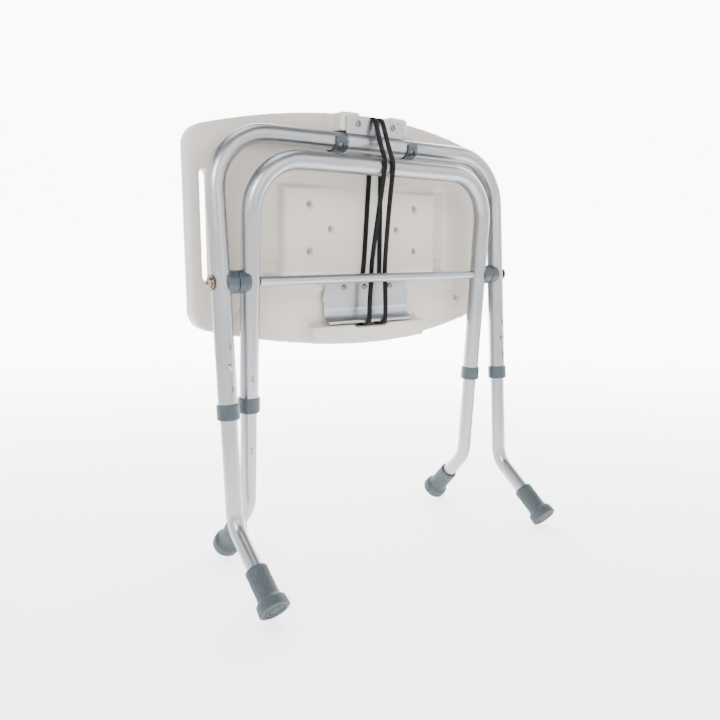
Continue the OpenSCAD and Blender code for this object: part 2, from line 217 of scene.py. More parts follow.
def shared_group(name):
    """The shader group of that name, built once."""
    if name not in GROUPS:
        GROUPS[name] = {"moulded_skin": moulded_skin_group, "edge_rub": edge_rub_group}[name]()
    return GROUPS[name]


def finish_material(name, colour, roughness, skin, rub=0.0, bump=0.1, bump_depth=0.0002, grain=None,
                    **principled):
    """A surface of one colour with skin, mottling, rubbed edges and an optional drawn grain."""
    material = bpy.data.materials.new(name)
    material.use_nodes = True
    tree = material.node_tree
    shader = tree.nodes["Principled BSDF"]
    link = tree.links.new
    for socket, value in principled.items():
        shader.inputs[socket.replace("_", " ")].default_value = value
    place = tree.nodes.new("ShaderNodeTexCoord")
    surface = add(tree, "ShaderNodeGroup", node_tree=shared_group("moulded_skin"))
    surface.inputs["Pebble Scale"].default_value = skin[0]
    surface.inputs["Mottle Scale"].default_value = skin[1]
    surface.inputs["Mottle"].default_value = skin[2]
    link(place.outputs["Object"], surface.inputs["Vector"])
    rubbed = add(tree, "ShaderNodeGroup", node_tree=shared_group("edge_rub"))
    link(place.outputs["Object"], rubbed.inputs["Vector"])
    tone = add(tree, "ShaderNodeMix", data_type="RGBA", blend_type="MULTIPLY")
    tone.inputs["Factor"].default_value = 1.0
    tone.inputs["A"].default_value = (*colour, 1.0)
    link(surface.outputs["Tone"], tone.inputs["B"])
    paler = add(tree, "ShaderNodeMix", data_type="RGBA", blend_type="MIX")
    paler.inputs["B"].default_value = (*[min(1.0, c * 1.5 + 0.02) for c in colour], 1.0)
    amount = add(tree, "ShaderNodeMath", operation="MULTIPLY")
    amount.inputs[1].default_value = rub
    link(rubbed.outputs["Mask"], amount.inputs[0])
    link(amount.outputs[0], paler.inputs["Factor"])
    link(tone.outputs["Result"], paler.inputs["A"])
    link(paler.outputs["Result"], shader.inputs["Base Color"])
    rough = add(tree, "ShaderNodeMath", operation="MULTIPLY")
    rough.inputs[1].default_value = roughness
    link(surface.outputs["Tone"], rough.inputs[0])
    link(rough.outputs[0], shader.inputs["Roughness"])
    relief = add(tree, "ShaderNodeBump", Strength=bump, Distance=bump_depth)
    height = surface.outputs["Height"]
    if grain:
        height = drawn_grain(tree, place, height, grain)
    link(height, relief.inputs["Height"])
    link(relief.outputs["Normal"], shader.inputs["Normal"])
    return material


def drawn_grain(tree, place, height, grain):
    """Adds streaks that run along the given scale's smallest side."""
    mapping = add(tree, "ShaderNodeMapping")
    mapping.inputs["Scale"].default_value = grain
    streaks = add(tree, "ShaderNodeTexNoise", Scale=1.0, Detail=2.0)
    both = add(tree, "ShaderNodeMath", operation="ADD")
    tree.links.new(place.outputs["Object"], mapping.inputs["Vector"])
    tree.links.new(mapping.outputs["Vector"], streaks.inputs["Vector"])
    tree.links.new(streaks.outputs["Fac"], both.inputs[0])
    tree.links.new(height, both.inputs[1])
    return both.outputs[0]


def woven_elastic(name, colour):
    """Flat braid: fine ribs along the strap, crossed by the weft."""
    material = bpy.data.materials.new(name)
    material.use_nodes = True
    tree = material.node_tree
    shader = tree.nodes["Principled BSDF"]
    shader.inputs["Sheen Weight"].default_value = 0.04
    shader.inputs["Sheen Roughness"].default_value = 0.4
    shader.inputs["Specular IOR Level"].default_value = 0.12
    link = tree.links.new
    place = add(tree, "ShaderNodeUVMap", uv_map="strap")
    ribs = add(tree, "ShaderNodeTexWave", Scale=1.0, Distortion=0.0)
    ribs.bands_direction = "X"
    weft = add(tree, "ShaderNodeTexWave", Scale=1.0, Distortion=0.6, Detail=1.0)
    weft.bands_direction = "Y"
    squeeze = add(tree, "ShaderNodeMapping")
    squeeze.inputs["Scale"].default_value = (900.0, 450.0, 1.0)
    both = add(tree, "ShaderNodeMath", operation="MULTIPLY")
    tone = add(tree, "ShaderNodeMix", data_type="RGBA", blend_type="MIX")
    tone.inputs["A"].default_value = (*[c * 0.5 for c in colour], 1.0)
    tone.inputs["B"].default_value = (*[c * 1.5 + 0.001 for c in colour], 1.0)
    rough = add(tree, "ShaderNodeMapRange")
    rough.inputs["To Min"].default_value = 0.85
    rough.inputs["To Max"].default_value = 0.6
    relief = add(tree, "ShaderNodeBump", Strength=0.6, Distance=0.0003)
    link(place.outputs["UV"], squeeze.inputs["Vector"])
    link(squeeze.outputs["Vector"], ribs.inputs["Vector"])
    link(squeeze.outputs["Vector"], weft.inputs["Vector"])
    link(ribs.outputs["Fac"], both.inputs[0])
    link(weft.outputs["Fac"], both.inputs[1])
    link(both.outputs[0], tone.inputs["Factor"])
    link(both.outputs[0], rough.inputs["Value"])
    link(tone.outputs["Result"], shader.inputs["Base Color"])
    link(rough.outputs["Result"], shader.inputs["Roughness"])
    link(both.outputs[0], relief.inputs["Height"])
    link(relief.outputs["Normal"], shader.inputs["Normal"])
    return material


MATERIALS = {}


def material(name):
    """The finish of that name, made on first use."""
    if name in MATERIALS:
        return MATERIALS[name]
    c = colours()
    if name == "seat_plastic":
        made = finish_material(name, c.seat, 0.42, (650.0, 9.0, 0.05), rub=0.12, bump=0.16,
                               bump_depth=0.0003, Specular_IOR_Level=0.42)
    elif name == "frame_tube":
        made = finish_material(name, c.metal, 0.30, (1500.0, 26.0, 0.16), bump=0.06, bump_depth=0.0001,
                               grain=(900.0, 900.0, 22.0), Metallic=1.0)
    elif name == "bracket":
        made = finish_material(name, c.metal, 0.34, (1100.0, 30.0, 0.18), rub=0.4, bump=0.07,
                               bump_depth=0.0001, grain=(16.0, 800.0, 800.0), Metallic=1.0)
    elif name == "fastener":
        made = finish_material(name, c.zinc, 0.22, (1400.0, 160.0, 0.3), rub=0.5, bump=0.05, Metallic=1.0)
    elif name == "snap_spring":
        made = finish_material(name, c.metal, 0.2, (1800.0, 60.0, 0.15), rub=0.3, bump=0.04, Metallic=1.0)
    elif name == "plastic":
        made = finish_material(name, c.plastic, 0.40, (1200.0, 45.0, 0.14), rub=0.45, bump=0.14,
                               Specular_IOR_Level=0.5)
    elif name == "tip_rubber":
        made = finish_material(name, c.rubber, 0.62, (1000.0, 60.0, 0.22), rub=0.5, bump=0.3,
                               Specular_IOR_Level=0.4)
    elif name == "ink":
        made = finish_material(name, (0.012, 0.012, 0.014), 0.5, (1500.0, 200.0, 0.3), bump=0.1)
    else:
        made = woven_elastic(name, c.elastic)
    MATERIALS[name] = made
    return made


# ---------------------------------------------------------------- mesh helpers


def link_mesh(name, mesh, finish, smooth_angle=35.0):
    """A new object at the origin, with one finish and smooth faces up to an angle."""
    obj = bpy.data.objects.new(name, mesh)
    bpy.context.scene.collection.objects.link(obj)
    mesh.materials.clear()
    mesh.materials.append(finish)
    if smooth_angle is not None:
        mesh.shade_smooth()
        mesh.set_sharp_from_angle(angle=math.radians(smooth_angle))
    return obj


def evaluated_mesh(obj):
    """A plain mesh of an object with its modifiers, which are then removed."""
    graph = bpy.context.evaluated_depsgraph_get()
    mesh = bpy.data.meshes.new_from_object(obj.evaluated_get(graph), depsgraph=graph)
    obj.modifiers.clear()
    return mesh


def eased(value):
    """Smooth step from 0 to 1."""
    value = min(1.0, max(0.0, value))
    return value * value * (3 - 2 * value)


def merged_copy(node):
    """A welded copy of a CAD node's mesh."""
    form = bmesh.new()
    form.from_mesh(NODES[node].data)
    bmesh.ops.remove_doubles(form, verts=form.verts, dist=1e-6)
    return form


def add_block(form, low, high, taper=0.0):
    """A closed block between two corners; its -Y face is drawn in by taper all round."""
    corners = []
    for x in (0, 1):
        for y in (0, 1):
            for z in (0, 1):
                draw_in = taper if y == 0 else 0.0
                px = (low[0] + draw_in, high[0] - draw_in)[x]
                pz = (low[2] + draw_in, high[2] - draw_in)[z]
                corners.append(form.verts.new(at(px, (low[1], high[1])[y], pz)))
    for face in ((0, 1, 3, 2), (4, 6, 7, 5), (0, 4, 5, 1), (2, 3, 7, 6), (0, 2, 6, 4), (1, 5, 7, 3)):
        form.faces.new([corners[i] for i in face])


def add_boss(form, x, z, y_face, y_back, r_face, r_back, sides=32):
    """A closed round boss that rises towards -Y."""
    rings = []
    for y, r in ((y_face, r_face), (y_back, r_back)):
        rings.append([
            form.verts.new(at(x + r * math.cos(a), y, z + r * math.sin(a)))
            for a in (2 * math.pi * i / sides for i in range(sides))
        ])
    for i in range(sides):
        j = (i + 1) % sides
        form.faces.new((rings[0][i], rings[0][j], rings[1][j], rings[1][i]))
    form.faces.new(list(reversed(rings[0])))
    form.faces.new(rings[1])


# ---------------------------------------------------------------- seat

# Sizes of the seat in millimetres, from the cross rod's middle
SEAT_FACE = 29.5       # underside of the seat at its middle, behind the cross rod
SEAT_BULK = 6.0        # how far the raised forms reach into the seat
SEAT_MID_Z = 67.0
DISH_R = 1806.0        # radius of the seat's lengthwise dish
DRAINS = ((97, 104), (61, 71), (97, 38.5))
SINK_R = 9.0           # radius of the soft countersink round a drain hole
SINK_DEEP = 2.4
PANEL = (142, 4, 130)  # half width, low edge and high edge of the raised panel
PANEL_RISE = 0.4       # at the middle, where the panel stands least
EDGE = 5.0             # width of a soft edge
CHANNEL = (141, 172, 2, 30)        # inner and outer side, low and high end of a channel's foot
CHANNEL_DEEP = 7.0
OVAL = (196, -52, 13, 9)           # middle and half sizes of the raised oval
OVAL_RISE = 1.2
SOFT_DEPTH = 14.0      # points deeper than this stay where they are
BOSSES = ((82, -1.5, SEAT_BULK + 4), (180, 6, 15))    # place, and face and back from the underside
BOSS_Z = -12
BOSS_R = (5, 9)        # at the face and at the back
RIDGE_END = ((62, 104), (14.5, 36), (-94, -62))       # across, behind and along
RIM_PAD = ((-59, 9.5, 205.5), (59, 40, 224))          # fills the notch under the saddle
PIP_STEP = 15.0        # between the pips of the seat's top
PIP_R = 2.7
PIP_SINK = 1.6         # how far a pip's middle sits inside the seat's top
PIP_ENDS = 248         # half length of the pips' field
PIP_SIDES = (136, 30)  # its half depth at the middle, and how much less it is at the seat's ends
SEAT_HALF = 268
ROW_STEP = 0.866       # between rows, as a share of the step
TOP_FACE = 53.5        # top of the seat at its middle
SLOT_ZONE = (232, 262, -20, 160)   # round a hand slot, kept clear of pips


def keep_outer_shell(form):
    """Deletes the hollow's own walls, which lie inside."""
    left = set(form.verts)
    shells = []
    while left:
        shell = set()
        front = [left.pop()]
        while front:
            vert = front.pop()
            shell.add(vert)
            for edge in vert.link_edges:
                other = edge.other_vert(vert)
                if other in left:
                    left.discard(other)
                    front.append(other)
        shells.append(shell)
    shells.sort(key=len, reverse=True)
    widest = max(shells, key=lambda s: max(v.co.x for v in s) - min(v.co.x for v in s))
    gone = [v for s in shells if s is not widest for v in s]
    bmesh.ops.delete(form, geom=gone, context="VERTS")


def raised_forms(form):
    """The soft shapes of the underside that stand on the plain shell."""
    across, behind, along = RIDGE_END
    for side in (-1, 1):
        for x, face, back in BOSSES:
            add_boss(form, side * x, BOSS_Z, SEAT_FACE + face, SEAT_FACE + back, *BOSS_R)
        ends = sorted(side * x for x in across)
        add_block(form, (ends[0], behind[0], along[0]), (ends[1], behind[1], along[1]), taper=7)
    add_block(form, *RIM_PAD)


def underside_shift(x, z):
    """How far the underside moves back at a place, in millimetres; the panel moves forward."""
    half, low, high = PANEL
    panel = eased((half - abs(x)) / EDGE) * eased((z - low) / EDGE) * eased((high - z) / EDGE)
    shift = -panel * (x * x / (2 * DISH_R) + PANEL_RISE)
    inner, outer, low, high = CHANNEL
    channel = eased((abs(x) - inner) / EDGE) * eased((outer - abs(x)) / EDGE)
    shift += CHANNEL_DEEP * channel * eased((z - low) / 8) * eased((high - z) / 6)
    for dx, dz in DRAINS:
        shift += SINK_DEEP * eased(1 - math.hypot(abs(x) - dx, z - dz) / SINK_R)
    mid_x, mid_z, half_x, half_z = OVAL
    ring = abs(math.hypot((abs(x) - mid_x) / half_x, (z - mid_z) / half_z) - 1)
    return shift - OVAL_RISE * eased(1 - ring / 0.5)


def shape_underside(mesh):
    """Moves the points near the underside; deeper ones move less."""
    for vert in mesh.vertices:
        spot = (vert.co - PIVOT) / MM
        depth = spot.y - SEAT_FACE - spot.x ** 2 / (2 * DISH_R)
        if -3 < depth < SOFT_DEPTH:
            share = 1 - eased(depth / SOFT_DEPTH)
            vert.co.y += underside_shift(spot.x, spot.z) * share * MM


def moulded_seat():
    """The seat's outer shell with rounded edges, from the CAD seat and its raised forms."""
    s = sizes()
    form = merged_copy("seat")
    keep_outer_shell(form)
    raised_forms(form)
    mesh = bpy.data.meshes.new("seat_shell")
    form.to_mesh(mesh)
    form.free()
    obj = link_mesh("seat_shell", mesh, material("seat_plastic"), None)
    remesh = obj.modifiers.new("grid", "REMESH")
    remesh.mode = "VOXEL"
    remesh.voxel_size = s.voxel
    soften = obj.modifiers.new("soften", "SMOOTH")
    soften.factor = 0.6
    soften.iterations = s.soften
    done = evaluated_mesh(obj)
    shape_underside(done)
    obj.data = done
    done.shade_smooth()
    return obj


def pip_places():
    """Middles of the pips, in the dish of the seat's top."""
    places = []
    for row in range(-9, 10):
        for column in range(-16, 17):
            x = PIP_STEP * (column + 0.5 * (row % 2))
            z = SEAT_MID_Z + PIP_STEP * ROW_STEP * row
            reach = PIP_SIDES[0] - PIP_SIDES[1] * (x / SEAT_HALF) ** 2
            near_edge = abs(x) > PIP_ENDS or abs(z - SEAT_MID_Z) > reach
            drain = any(math.hypot(abs(x) - dx, z - dz) < 10 for dx, dz in DRAINS)
            slot = SLOT_ZONE[0] < abs(x) < SLOT_ZONE[1] and SLOT_ZONE[2] < z < SLOT_ZONE[3]
            if not (near_edge or drain or slot):
                places.append(at(x, TOP_FACE + DISH_R - math.sqrt(DISH_R ** 2 - x * x) - PIP_SINK, z))
    return places


def pip_tree(finish):
    """Puts a low round pip on every point of a mesh."""
    tree, inp, out = new_group(
        "seat_pips", "GeometryNodeTree",
        [("Geometry", "NodeSocketGeometry", None), ("Radius", "NodeSocketFloat", 0.002),
         ("Rows", "NodeSocketInt", 5)],
        [("Geometry", "NodeSocketGeometry")],
    )
    ball = add(tree, "GeometryNodeMeshUVSphere", Segments=10)
    spread = add(tree, "GeometryNodeInstanceOnPoints")
    real = add(tree, "GeometryNodeRealizeInstances")
    paint = add(tree, "GeometryNodeSetMaterial", Material=finish)
    link = tree.links.new
    link(inp.outputs["Radius"], ball.inputs["Radius"])
    link(inp.outputs["Rows"], ball.inputs["Rings"])
    link(inp.outputs["Geometry"], spread.inputs["Points"])
    link(ball.outputs["Mesh"], spread.inputs["Instance"])
    link(spread.outputs["Instances"], real.inputs["Geometry"])
    link(real.outputs["Geometry"], paint.inputs["Geometry"])
    link(paint.outputs["Geometry"], out.inputs["Geometry"])
    return tree


def seat_pips():
    """Anti-slip pips on the seat's top."""
    finish = material("seat_plastic")
    mesh = bpy.data.meshes.new("pip_places")
    mesh.from_pydata(pip_places(), [], [])
    obj = link_mesh("seat_pips", mesh, finish, None)
    pips = obj.modifiers.new("pips", "NODES")
    pips.node_group = pip_tree(finish)
    set_inputs(pips, Radius=PIP_R * MM, Rows=5)
    obj.data = evaluated_mesh(obj)
    obj.data.shade_smooth()
    return obj


# ---------------------------------------------------------------- rubber tips


def rib_ring_tree(finish):
    """Geometry nodes: upright ribs set round a sleeve."""
    group, inp, out = new_group(
        "rib_ring", "GeometryNodeTree",
        [("Count", "NodeSocketInt", 18), ("Radius", "NodeSocketFloat", 0.0143),
         ("Rib Size", "NodeSocketVector", (0.0006, 0.0012, 0.015))],
        [("Geometry", "NodeSocketGeometry")],
    )
    link = group.links.new
    ring = group.nodes.new("GeometryNodeMeshCircle")
    rib = add(group, "GeometryNodeMeshUVSphere")
    rib.inputs["Segments"].default_value = 8
    rib.inputs["Rings"].default_value = 8
    rib.inputs["Radius"].default_value = 1.0
    index = group.nodes.new("GeometryNodeInputIndex")
    turn = add(group, "ShaderNodeMath", operation="DIVIDE")
    full = add(group, "ShaderNodeMath", operation="MULTIPLY")
    full.inputs[1].default_value = 2 * math.pi
    facing = group.nodes.new("ShaderNodeCombineXYZ")
    spread = group.nodes.new("GeometryNodeInstanceOnPoints")
    real = group.nodes.new("GeometryNodeRealizeInstances")
    paint = add(group, "GeometryNodeSetMaterial")
    paint.inputs["Material"].default_value = finish
    link(inp.outputs["Count"], ring.inputs["Vertices"])
    link(inp.outputs["Radius"], ring.inputs["Radius"])
    link(index.outputs[0], turn.inputs[0])
    link(inp.outputs["Count"], turn.inputs[1])
    link(turn.outputs[0], full.inputs[0])
    link(full.outputs[0], facing.inputs["Z"])
    link(ring.outputs["Mesh"], spread.inputs["Points"])
    link(rib.outputs["Mesh"], spread.inputs["Instance"])
    link(facing.outputs[0], spread.inputs["Rotation"])
    link(inp.outputs["Rib Size"], spread.inputs["Scale"])
    link(spread.outputs[0], real.inputs[0])
    link(real.outputs[0], paint.inputs["Geometry"])
    link(paint.outputs[0], out.inputs["Geometry"])
    return group


def set_inputs(modifier, **values):
    """Sets a nodes modifier's inputs by their names, through their identifiers."""
    for item in modifier.node_group.interface.items_tree:
        key = item.name.replace(" ", "_")
        if item.item_type == "SOCKET" and item.in_out == "INPUT" and key in values:
            modifier[item.identifier] = values[key]


def lathe(profile, steps=64):
    """A closed turned form about Z from (radius, height) points; ends on the axis."""
    form = bmesh.new()
    rings = []
    for radius, height in profile:
        if radius < 1e-7:
            rings.append([form.verts.new((0, 0, height))])
            continue
        rings.append([
            form.verts.new((radius * math.cos(a), radius * math.sin(a), height))
            for a in (2 * math.pi * i / steps for i in range(steps))
        ])
    for a, b in zip(rings, rings[1:]):
        for i in range(steps):
            j = (i + 1) % steps
            corners = [a[i % len(a)], a[j % len(a)], b[j % len(b)], b[i % len(b)]]
            unique = list(dict.fromkeys(corners))
            if len(unique) > 2:
                form.faces.new(unique)
    bmesh.ops.recalc_face_normals(form, faces=form.faces)
    return form


TIP_PROFILE = [
    (0.0, 0.4), (4.2, 0.4), (4.6, 0.0), (6.6, 0.0), (7.0, 1.4), (9.0, 1.4), (9.4, 0.0), (11.8, 0.0),
    (12.2, 1.4), (14.4, 1.4), (14.8, 0.0), (19.0, 0.0), (19.9, 0.35), (20.4, 1.3), (20.4, 3.0),
    (20.1, 8.0), (19.8, 12.2), (19.2, 13.8), (17.9, 14.9), (15.9, 16.6), (15.2, 18.6), (14.9, 22.0),
    (14.45, 25.0), (14.2, 44.0), (14.25, 50.0), (14.9, 51.0), (14.9, 57.6), (14.5, 58.8), (13.6, 59.5),
    (11.9, 59.8), (11.2, 59.3), (11.2, 52.0), (11.05, 51.0), (11.05, 30.0), (0.0, 30.0),
]


FOOT_OUT = 17.0        # the foot's mount lies this far outward of the tip's middle
RIB_R = 14.2           # radius of the sleeve that the ribs stand on
RIB_MID = 37.0         # height of the ribs' middle above the foot


def foot_place(mount):
    """Matrix that puts a form drawn about Z, base at zero, on a leg's foot."""
    outward = Vector(mount["axis"]).normalized()
    spot = Vector(mount["pos_m"])
    side = 1.0 if spot.x > 0 else -1.0
    centre = spot - Vector((side * FOOT_OUT * MM, 0, 0))
    up = -outward
    x_axis = Vector((1, 0, 0))
    turned = Matrix((x_axis, up.cross(x_axis), up)).transposed().to_4x4()
    return Matrix.Translation(centre) @ turned


def rubber_tip(name, place, ribs):
    """One tip: a turned body with its grip ribs, set on its foot."""
    form = lathe([(r * MM, h * MM) for r, h in TIP_PROFILE])
    form.from_mesh(ribs)
    mesh = bpy.data.meshes.new(name)
    form.to_mesh(mesh)
    form.free()
    mesh.transform(place)
    return link_mesh(name, mesh, material("tip_rubber"), 40.0)


def grip_ribs():
    """The ribs round one sleeve, as a plain mesh about Z."""
    holder = bpy.data.objects.new("rib_holder", bpy.data.meshes.new("rib_holder"))
    bpy.context.scene.collection.objects.link(holder)
    modifier = holder.modifiers.new("ribs", "NODES")
    modifier.node_group = rib_ring_tree(material("tip_rubber"))
    set_inputs(modifier, Count=sizes().tip_ribs, Radius=RIB_R * MM)
    mesh = evaluated_mesh(holder)
    mesh.transform(Matrix.Translation((0, 0, RIB_MID * MM)))
    bpy.data.objects.remove(holder)
    return mesh


# ---------------------------------------------------------------- elastic loops

# Each loop's path in millimetres from the cross rod's middle, down the front and up behind
LEFT_LOOP = [
    (-4.6, 2.6, 224.6), (-5.0, -1.0, 219.0), (-6.0, -14.0, 188.0), (-6.8, -24.6, 164.0),
    (-6.8, -25.2, 155.0), (-6.6, -22.5, 144.0), (-6.0, -9.0, 90.0), (-5.4, 6.0, 24.0),
    (-5.3, 7.9, 8.0), (-6.2, 8.0, -12.0), (-8.0, 8.4, -42.0), (-8.4, 8.8, -64.0), (-9.0, 11.5, -68.4),
    (-10.5, 18.0, -69.6), (-12.0, 26.0, -69.0), (-12.4, 29.4, -64.0), (-12.0, 29.3, -30.0),
    (-6.0, 28.0, 6.0), (-3.2, 28.0, 30.0), (2.0, 28.0, 100.0), (5.4, 28.0, 150.0), (4.0, 27.6, 200.0),
    (0.0, 24.0, 215.0), (-3.0, 14.0, 224.6), (-4.2, 8.0, 225.8),
]
RIGHT_LOOP = [
    (7.7, 2.6, 224.6), (7.6, -1.0, 219.0), (7.4, -14.0, 188.0), (7.5, -24.6, 164.0),
    (7.8, -25.2, 155.0), (8.6, -22.5, 144.0), (13.0, -9.0, 90.0), (19.0, 6.0, 24.0),
    (20.0, 7.9, 8.0), (21.0, 8.0, -12.0), (22.1, 8.4, -42.0), (21.4, 8.8, -64.0), (20.0, 11.5, -68.4),
    (18.0, 18.0, -69.6), (18.0, 26.0, -69.0), (20.0, 29.4, -64.0), (23.0, 29.3, -30.0),
    (25.2, 28.0, 6.0), (25.6, 28.0, 30.0), (26.4, 28.0, 100.0), (26.8, 28.0, 150.0), (22.0, 27.6, 200.0),
    (14.0, 24.0, 215.0), (9.0, 14.0, 224.6), (8.0, 8.0, 225.8),
]


def closed_curve(points, steps):
    """Even points on a smooth closed curve through the given ones."""
    count = len(points)
    dense = []
    for i in range(count):
        before, start, end, after = (points[(i + k) % count] for k in (-1, 0, 1, 2))
        pull = (end - start).length / 3
        out_way = (end - before).normalized() * pull
        in_way = (after - start).normalized() * pull
        dense += interpolate_bezier(start, start + out_way, end - in_way, end, 17)[:-1]
    lengths = [0.0]
    for a, b in zip(dense, dense[1:] + dense[:1]):
        lengths.append(lengths[-1] + (b - a).length)
    even = []
    j = 0
    for k in range(steps):
        goal = lengths[-1] * k / steps
        while lengths[j + 1] < goal:
            j += 1
        share = (goal - lengths[j]) / (lengths[j + 1] - lengths[j])
        even.append(dense[j].lerp(dense[(j + 1) % len(dense)], share))
    return even, lengths[-1]


STRAP_SECTION = [
    (-0.5, -0.28), (-0.46, -0.5), (-0.2, -0.56), (0.2, -0.56), (0.46, -0.5), (0.5, -0.28),
    (0.5, 0.28), (0.46, 0.5), (0.2, 0.56), (-0.2, 0.56), (-0.46, 0.5), (-0.5, 0.28),
]


def elastic_loop(name, points):
    """A flat braided loop that lies with its width along X."""
    s = sizes()
    path, length = closed_curve([at(*p) for p in points], 360)
    form = bmesh.new()
    uv = form.loops.layers.uv.new("strap")
    rings = []
    for i, p in enumerate(path):
        along = (path[(i + 1) % len(path)] - path[i - 1]).normalized()
        across = (Vector((1, 0, 0)) - along * along.x).normalized()
        off = across.cross(along)
        rings.append([
            form.verts.new(p + across * (u * s.loop_width) + off * (v * s.loop_thick))
            for u, v in STRAP_SECTION
        ])
    sides = len(STRAP_SECTION)
    for i in range(len(path)):
        for k in range(sides):
            m = (k + 1) % sides
            n = (i + 1) % len(path)
            face = form.faces.new((rings[i][k], rings[i][m], rings[n][m], rings[n][k]))
            for corner, (row, col) in zip(face.loops, ((i, k), (i, k + 1), (i + 1, k + 1), (i + 1, k))):
                edge = STRAP_SECTION[col % sides][0]
                corner[uv].uv = (edge * s.loop_width, length * row / len(path))
    bmesh.ops.recalc_face_normals(form, faces=form.faces)
    mesh = bpy.data.meshes.new(name)
    form.to_mesh(mesh)
    form.free()
    return link_mesh(name, mesh, material("elastic"), 50.0)


# ---------------------------------------------------------------- stamped numbers


def stamped_number(name, spot, tube_axis, radius, text="2"):
    """A generic size number printed on a tube, wrapped round it, facing -Y."""
    curve = bpy.data.curves.new(name, "FONT")
    curve.body = text
    curve.size = sizes().mark_height
    curve.align_x = "CENTER"
    curve.align_y = "CENTER"
    curve.extrude = 0.00004
    holder = bpy.data.objects.new(name, curve)
    bpy.context.scene.collection.objects.link(holder)
    graph = bpy.context.evaluated_depsgraph_get()
    graph.update()
    mesh = bpy.data.meshes.new_from_object(holder.evaluated_get(graph), depsgraph=graph)
    bpy.data.objects.remove(holder)
    form = bmesh.new()
    form.from_mesh(mesh)
    bmesh.ops.subdivide_edges(form, edges=form.edges, cuts=1)
    up = tube_axis.normalized()
    front = (Vector((0, -1, 0)) - up * Vector((0, -1, 0)).dot(up)).normalized()
    right = up.cross(front) * -1.0
    for vert in form.verts:
        angle = vert.co.x / radius + math.radians(MARK_TURN)
        reach = radius + 0.00003 + vert.co.z
        vert.co = spot + up * vert.co.y + (right * math.sin(angle) + front * math.cos(angle)) * reach
    bmesh.ops.recalc_face_normals(form, faces=form.faces)
    form.to_mesh(mesh)
    form.free()
    return link_mesh(name, mesh, material("ink"), None)


MARK_TURN = 6.0


# ---------------------------------------------------------------- operators


class STOOL_OT_camera(bpy.types.Operator):
    """Places the camera"""

    bl_idname = "stool.camera"
    bl_label = "Camera"

    def execute(self, context):
        data = bpy.data.cameras.new("camera")
        data.lens = 35.0
        data.sensor_width = 36.0
        data.clip_end = 50.0
        obj = bpy.data.objects.new("camera", data)
        obj.location = PIVOT + Vector((-0.6385, -0.8167, 0.0408))
        obj.rotation_euler = Euler((math.radians(81.03), 0.0, math.radians(-36.6)))
        context.scene.collection.objects.link(obj)
        context.scene.camera = obj
        return {"FINISHED"}


class STOOL_OT_finishes(bpy.types.Operator):
    """Gives every CAD node the material of its slot"""

    bl_idname = "stool.finishes"
    bl_label = "Finishes"

    def execute(self, context):
        slots = {p["node"]: p["material_slot"] for p in RECORD["subparts"]}
        for node, obj in NODES.items():
            obj.data.materials.clear()
            obj.data.materials.append(material(slots[node]))
        return {"FINISHED"}


class STOOL_OT_seat(bpy.types.Operator):
    """Makes the moulded seat"""

    bl_idname = "stool.seat"
    bl_label = "Seat"

    def execute(self, context):
        obj = moulded_seat()
        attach(obj, "seat")
        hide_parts("seat")
        pips = seat_pips()
        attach(pips, "seat")
        return {"FINISHED"}


class STOOL_OT_tips(bpy.types.Operator):
    """Makes the four rubber tips"""

    bl_idname = "stool.tips"
    bl_label = "Rubber tips"

    def execute(self, context):
        ribs = grip_ribs()
        for ring in ("outer", "inner"):
            for side in ("left", "right"):
                place = foot_place(MOUNTS[f"{ring}_{side}_foot"])
                obj = rubber_tip(f"{ring}_{side}_rubber_tip", place, ribs)
                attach(obj, f"{ring}_{side}_leg")
                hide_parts(f"{ring}_tip_{side}")
        return {"FINISHED"}


class STOOL_OT_loops(bpy.types.Operator):
    """Makes the elastic loops under the seat"""

    bl_idname = "stool.loops"
    bl_label = "Elastic loops"

    def execute(self, context):
        for side, points in (("left", LEFT_LOOP), ("right", RIGHT_LOOP)):
            obj = elastic_loop(f"elastic_strap_{side}", points)
            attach(obj, "seat")
            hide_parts(f"elastic_loop_{side}")
            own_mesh(obj)
        return {"FINISHED"}


MARKED_TUBE_X = -209.2         # middle of the inner left tube, in millimetres
MARKED_TUBE_TILT = 4.11        # in degrees
NUMBERS = (
    # name, place along the tube, tube radius, body
    ("upper_number", -128.0, 12.7, "inner_frame"),
    ("lower_number", -228.0, 11.0, "inner_left_leg"),
)


class STOOL_OT_marks(bpy.types.Operator):
    """Prints the size number on the tubes of one leg"""

    bl_idname = "stool.marks"
    bl_label = "Size numbers"

    def execute(self, context):
        tilt = math.radians(MARKED_TUBE_TILT)
        axis = Vector((0, -math.sin(tilt), math.cos(tilt)))
        for name, drop, radius, body in NUMBERS:
            spot = PIVOT + Vector((MARKED_TUBE_X * MM, 0, 0)) + axis * (drop * MM)
            obj = stamped_number(name, spot, axis, radius * MM)
            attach(obj, body)
        return {"FINISHED"}


BOWL_FLAT = 3.0        # radius of the floor's flat part, in metres
BOWL_RISE = 2.6        # radius of the curve that leads up to the wall
BOWL_WALL = 3.0        # height of the wall above the curve
BACK_TURN = math.radians(36.6)
BACK_START = 1.3       # how far in front of the stool the bright wedge starts


def bowl_glow(x, y):
    """How strongly the bowl shines at a place: most in a wedge behind the stool."""
    s = sizes()
    x += BACK_START * math.sin(BACK_TURN)
    y += BACK_START * math.cos(BACK_TURN)
    away = max(math.hypot(x, y), 1e-6)
    facing = (x * math.sin(BACK_TURN) + y * math.cos(BACK_TURN)) / away
    wedge = eased((facing - 0.68) / 0.16)
    far = eased((away - 1.0) / 2.5)
    return s.room_glow + wedge * (s.floor_glow + (s.back_glow - s.floor_glow) * far)


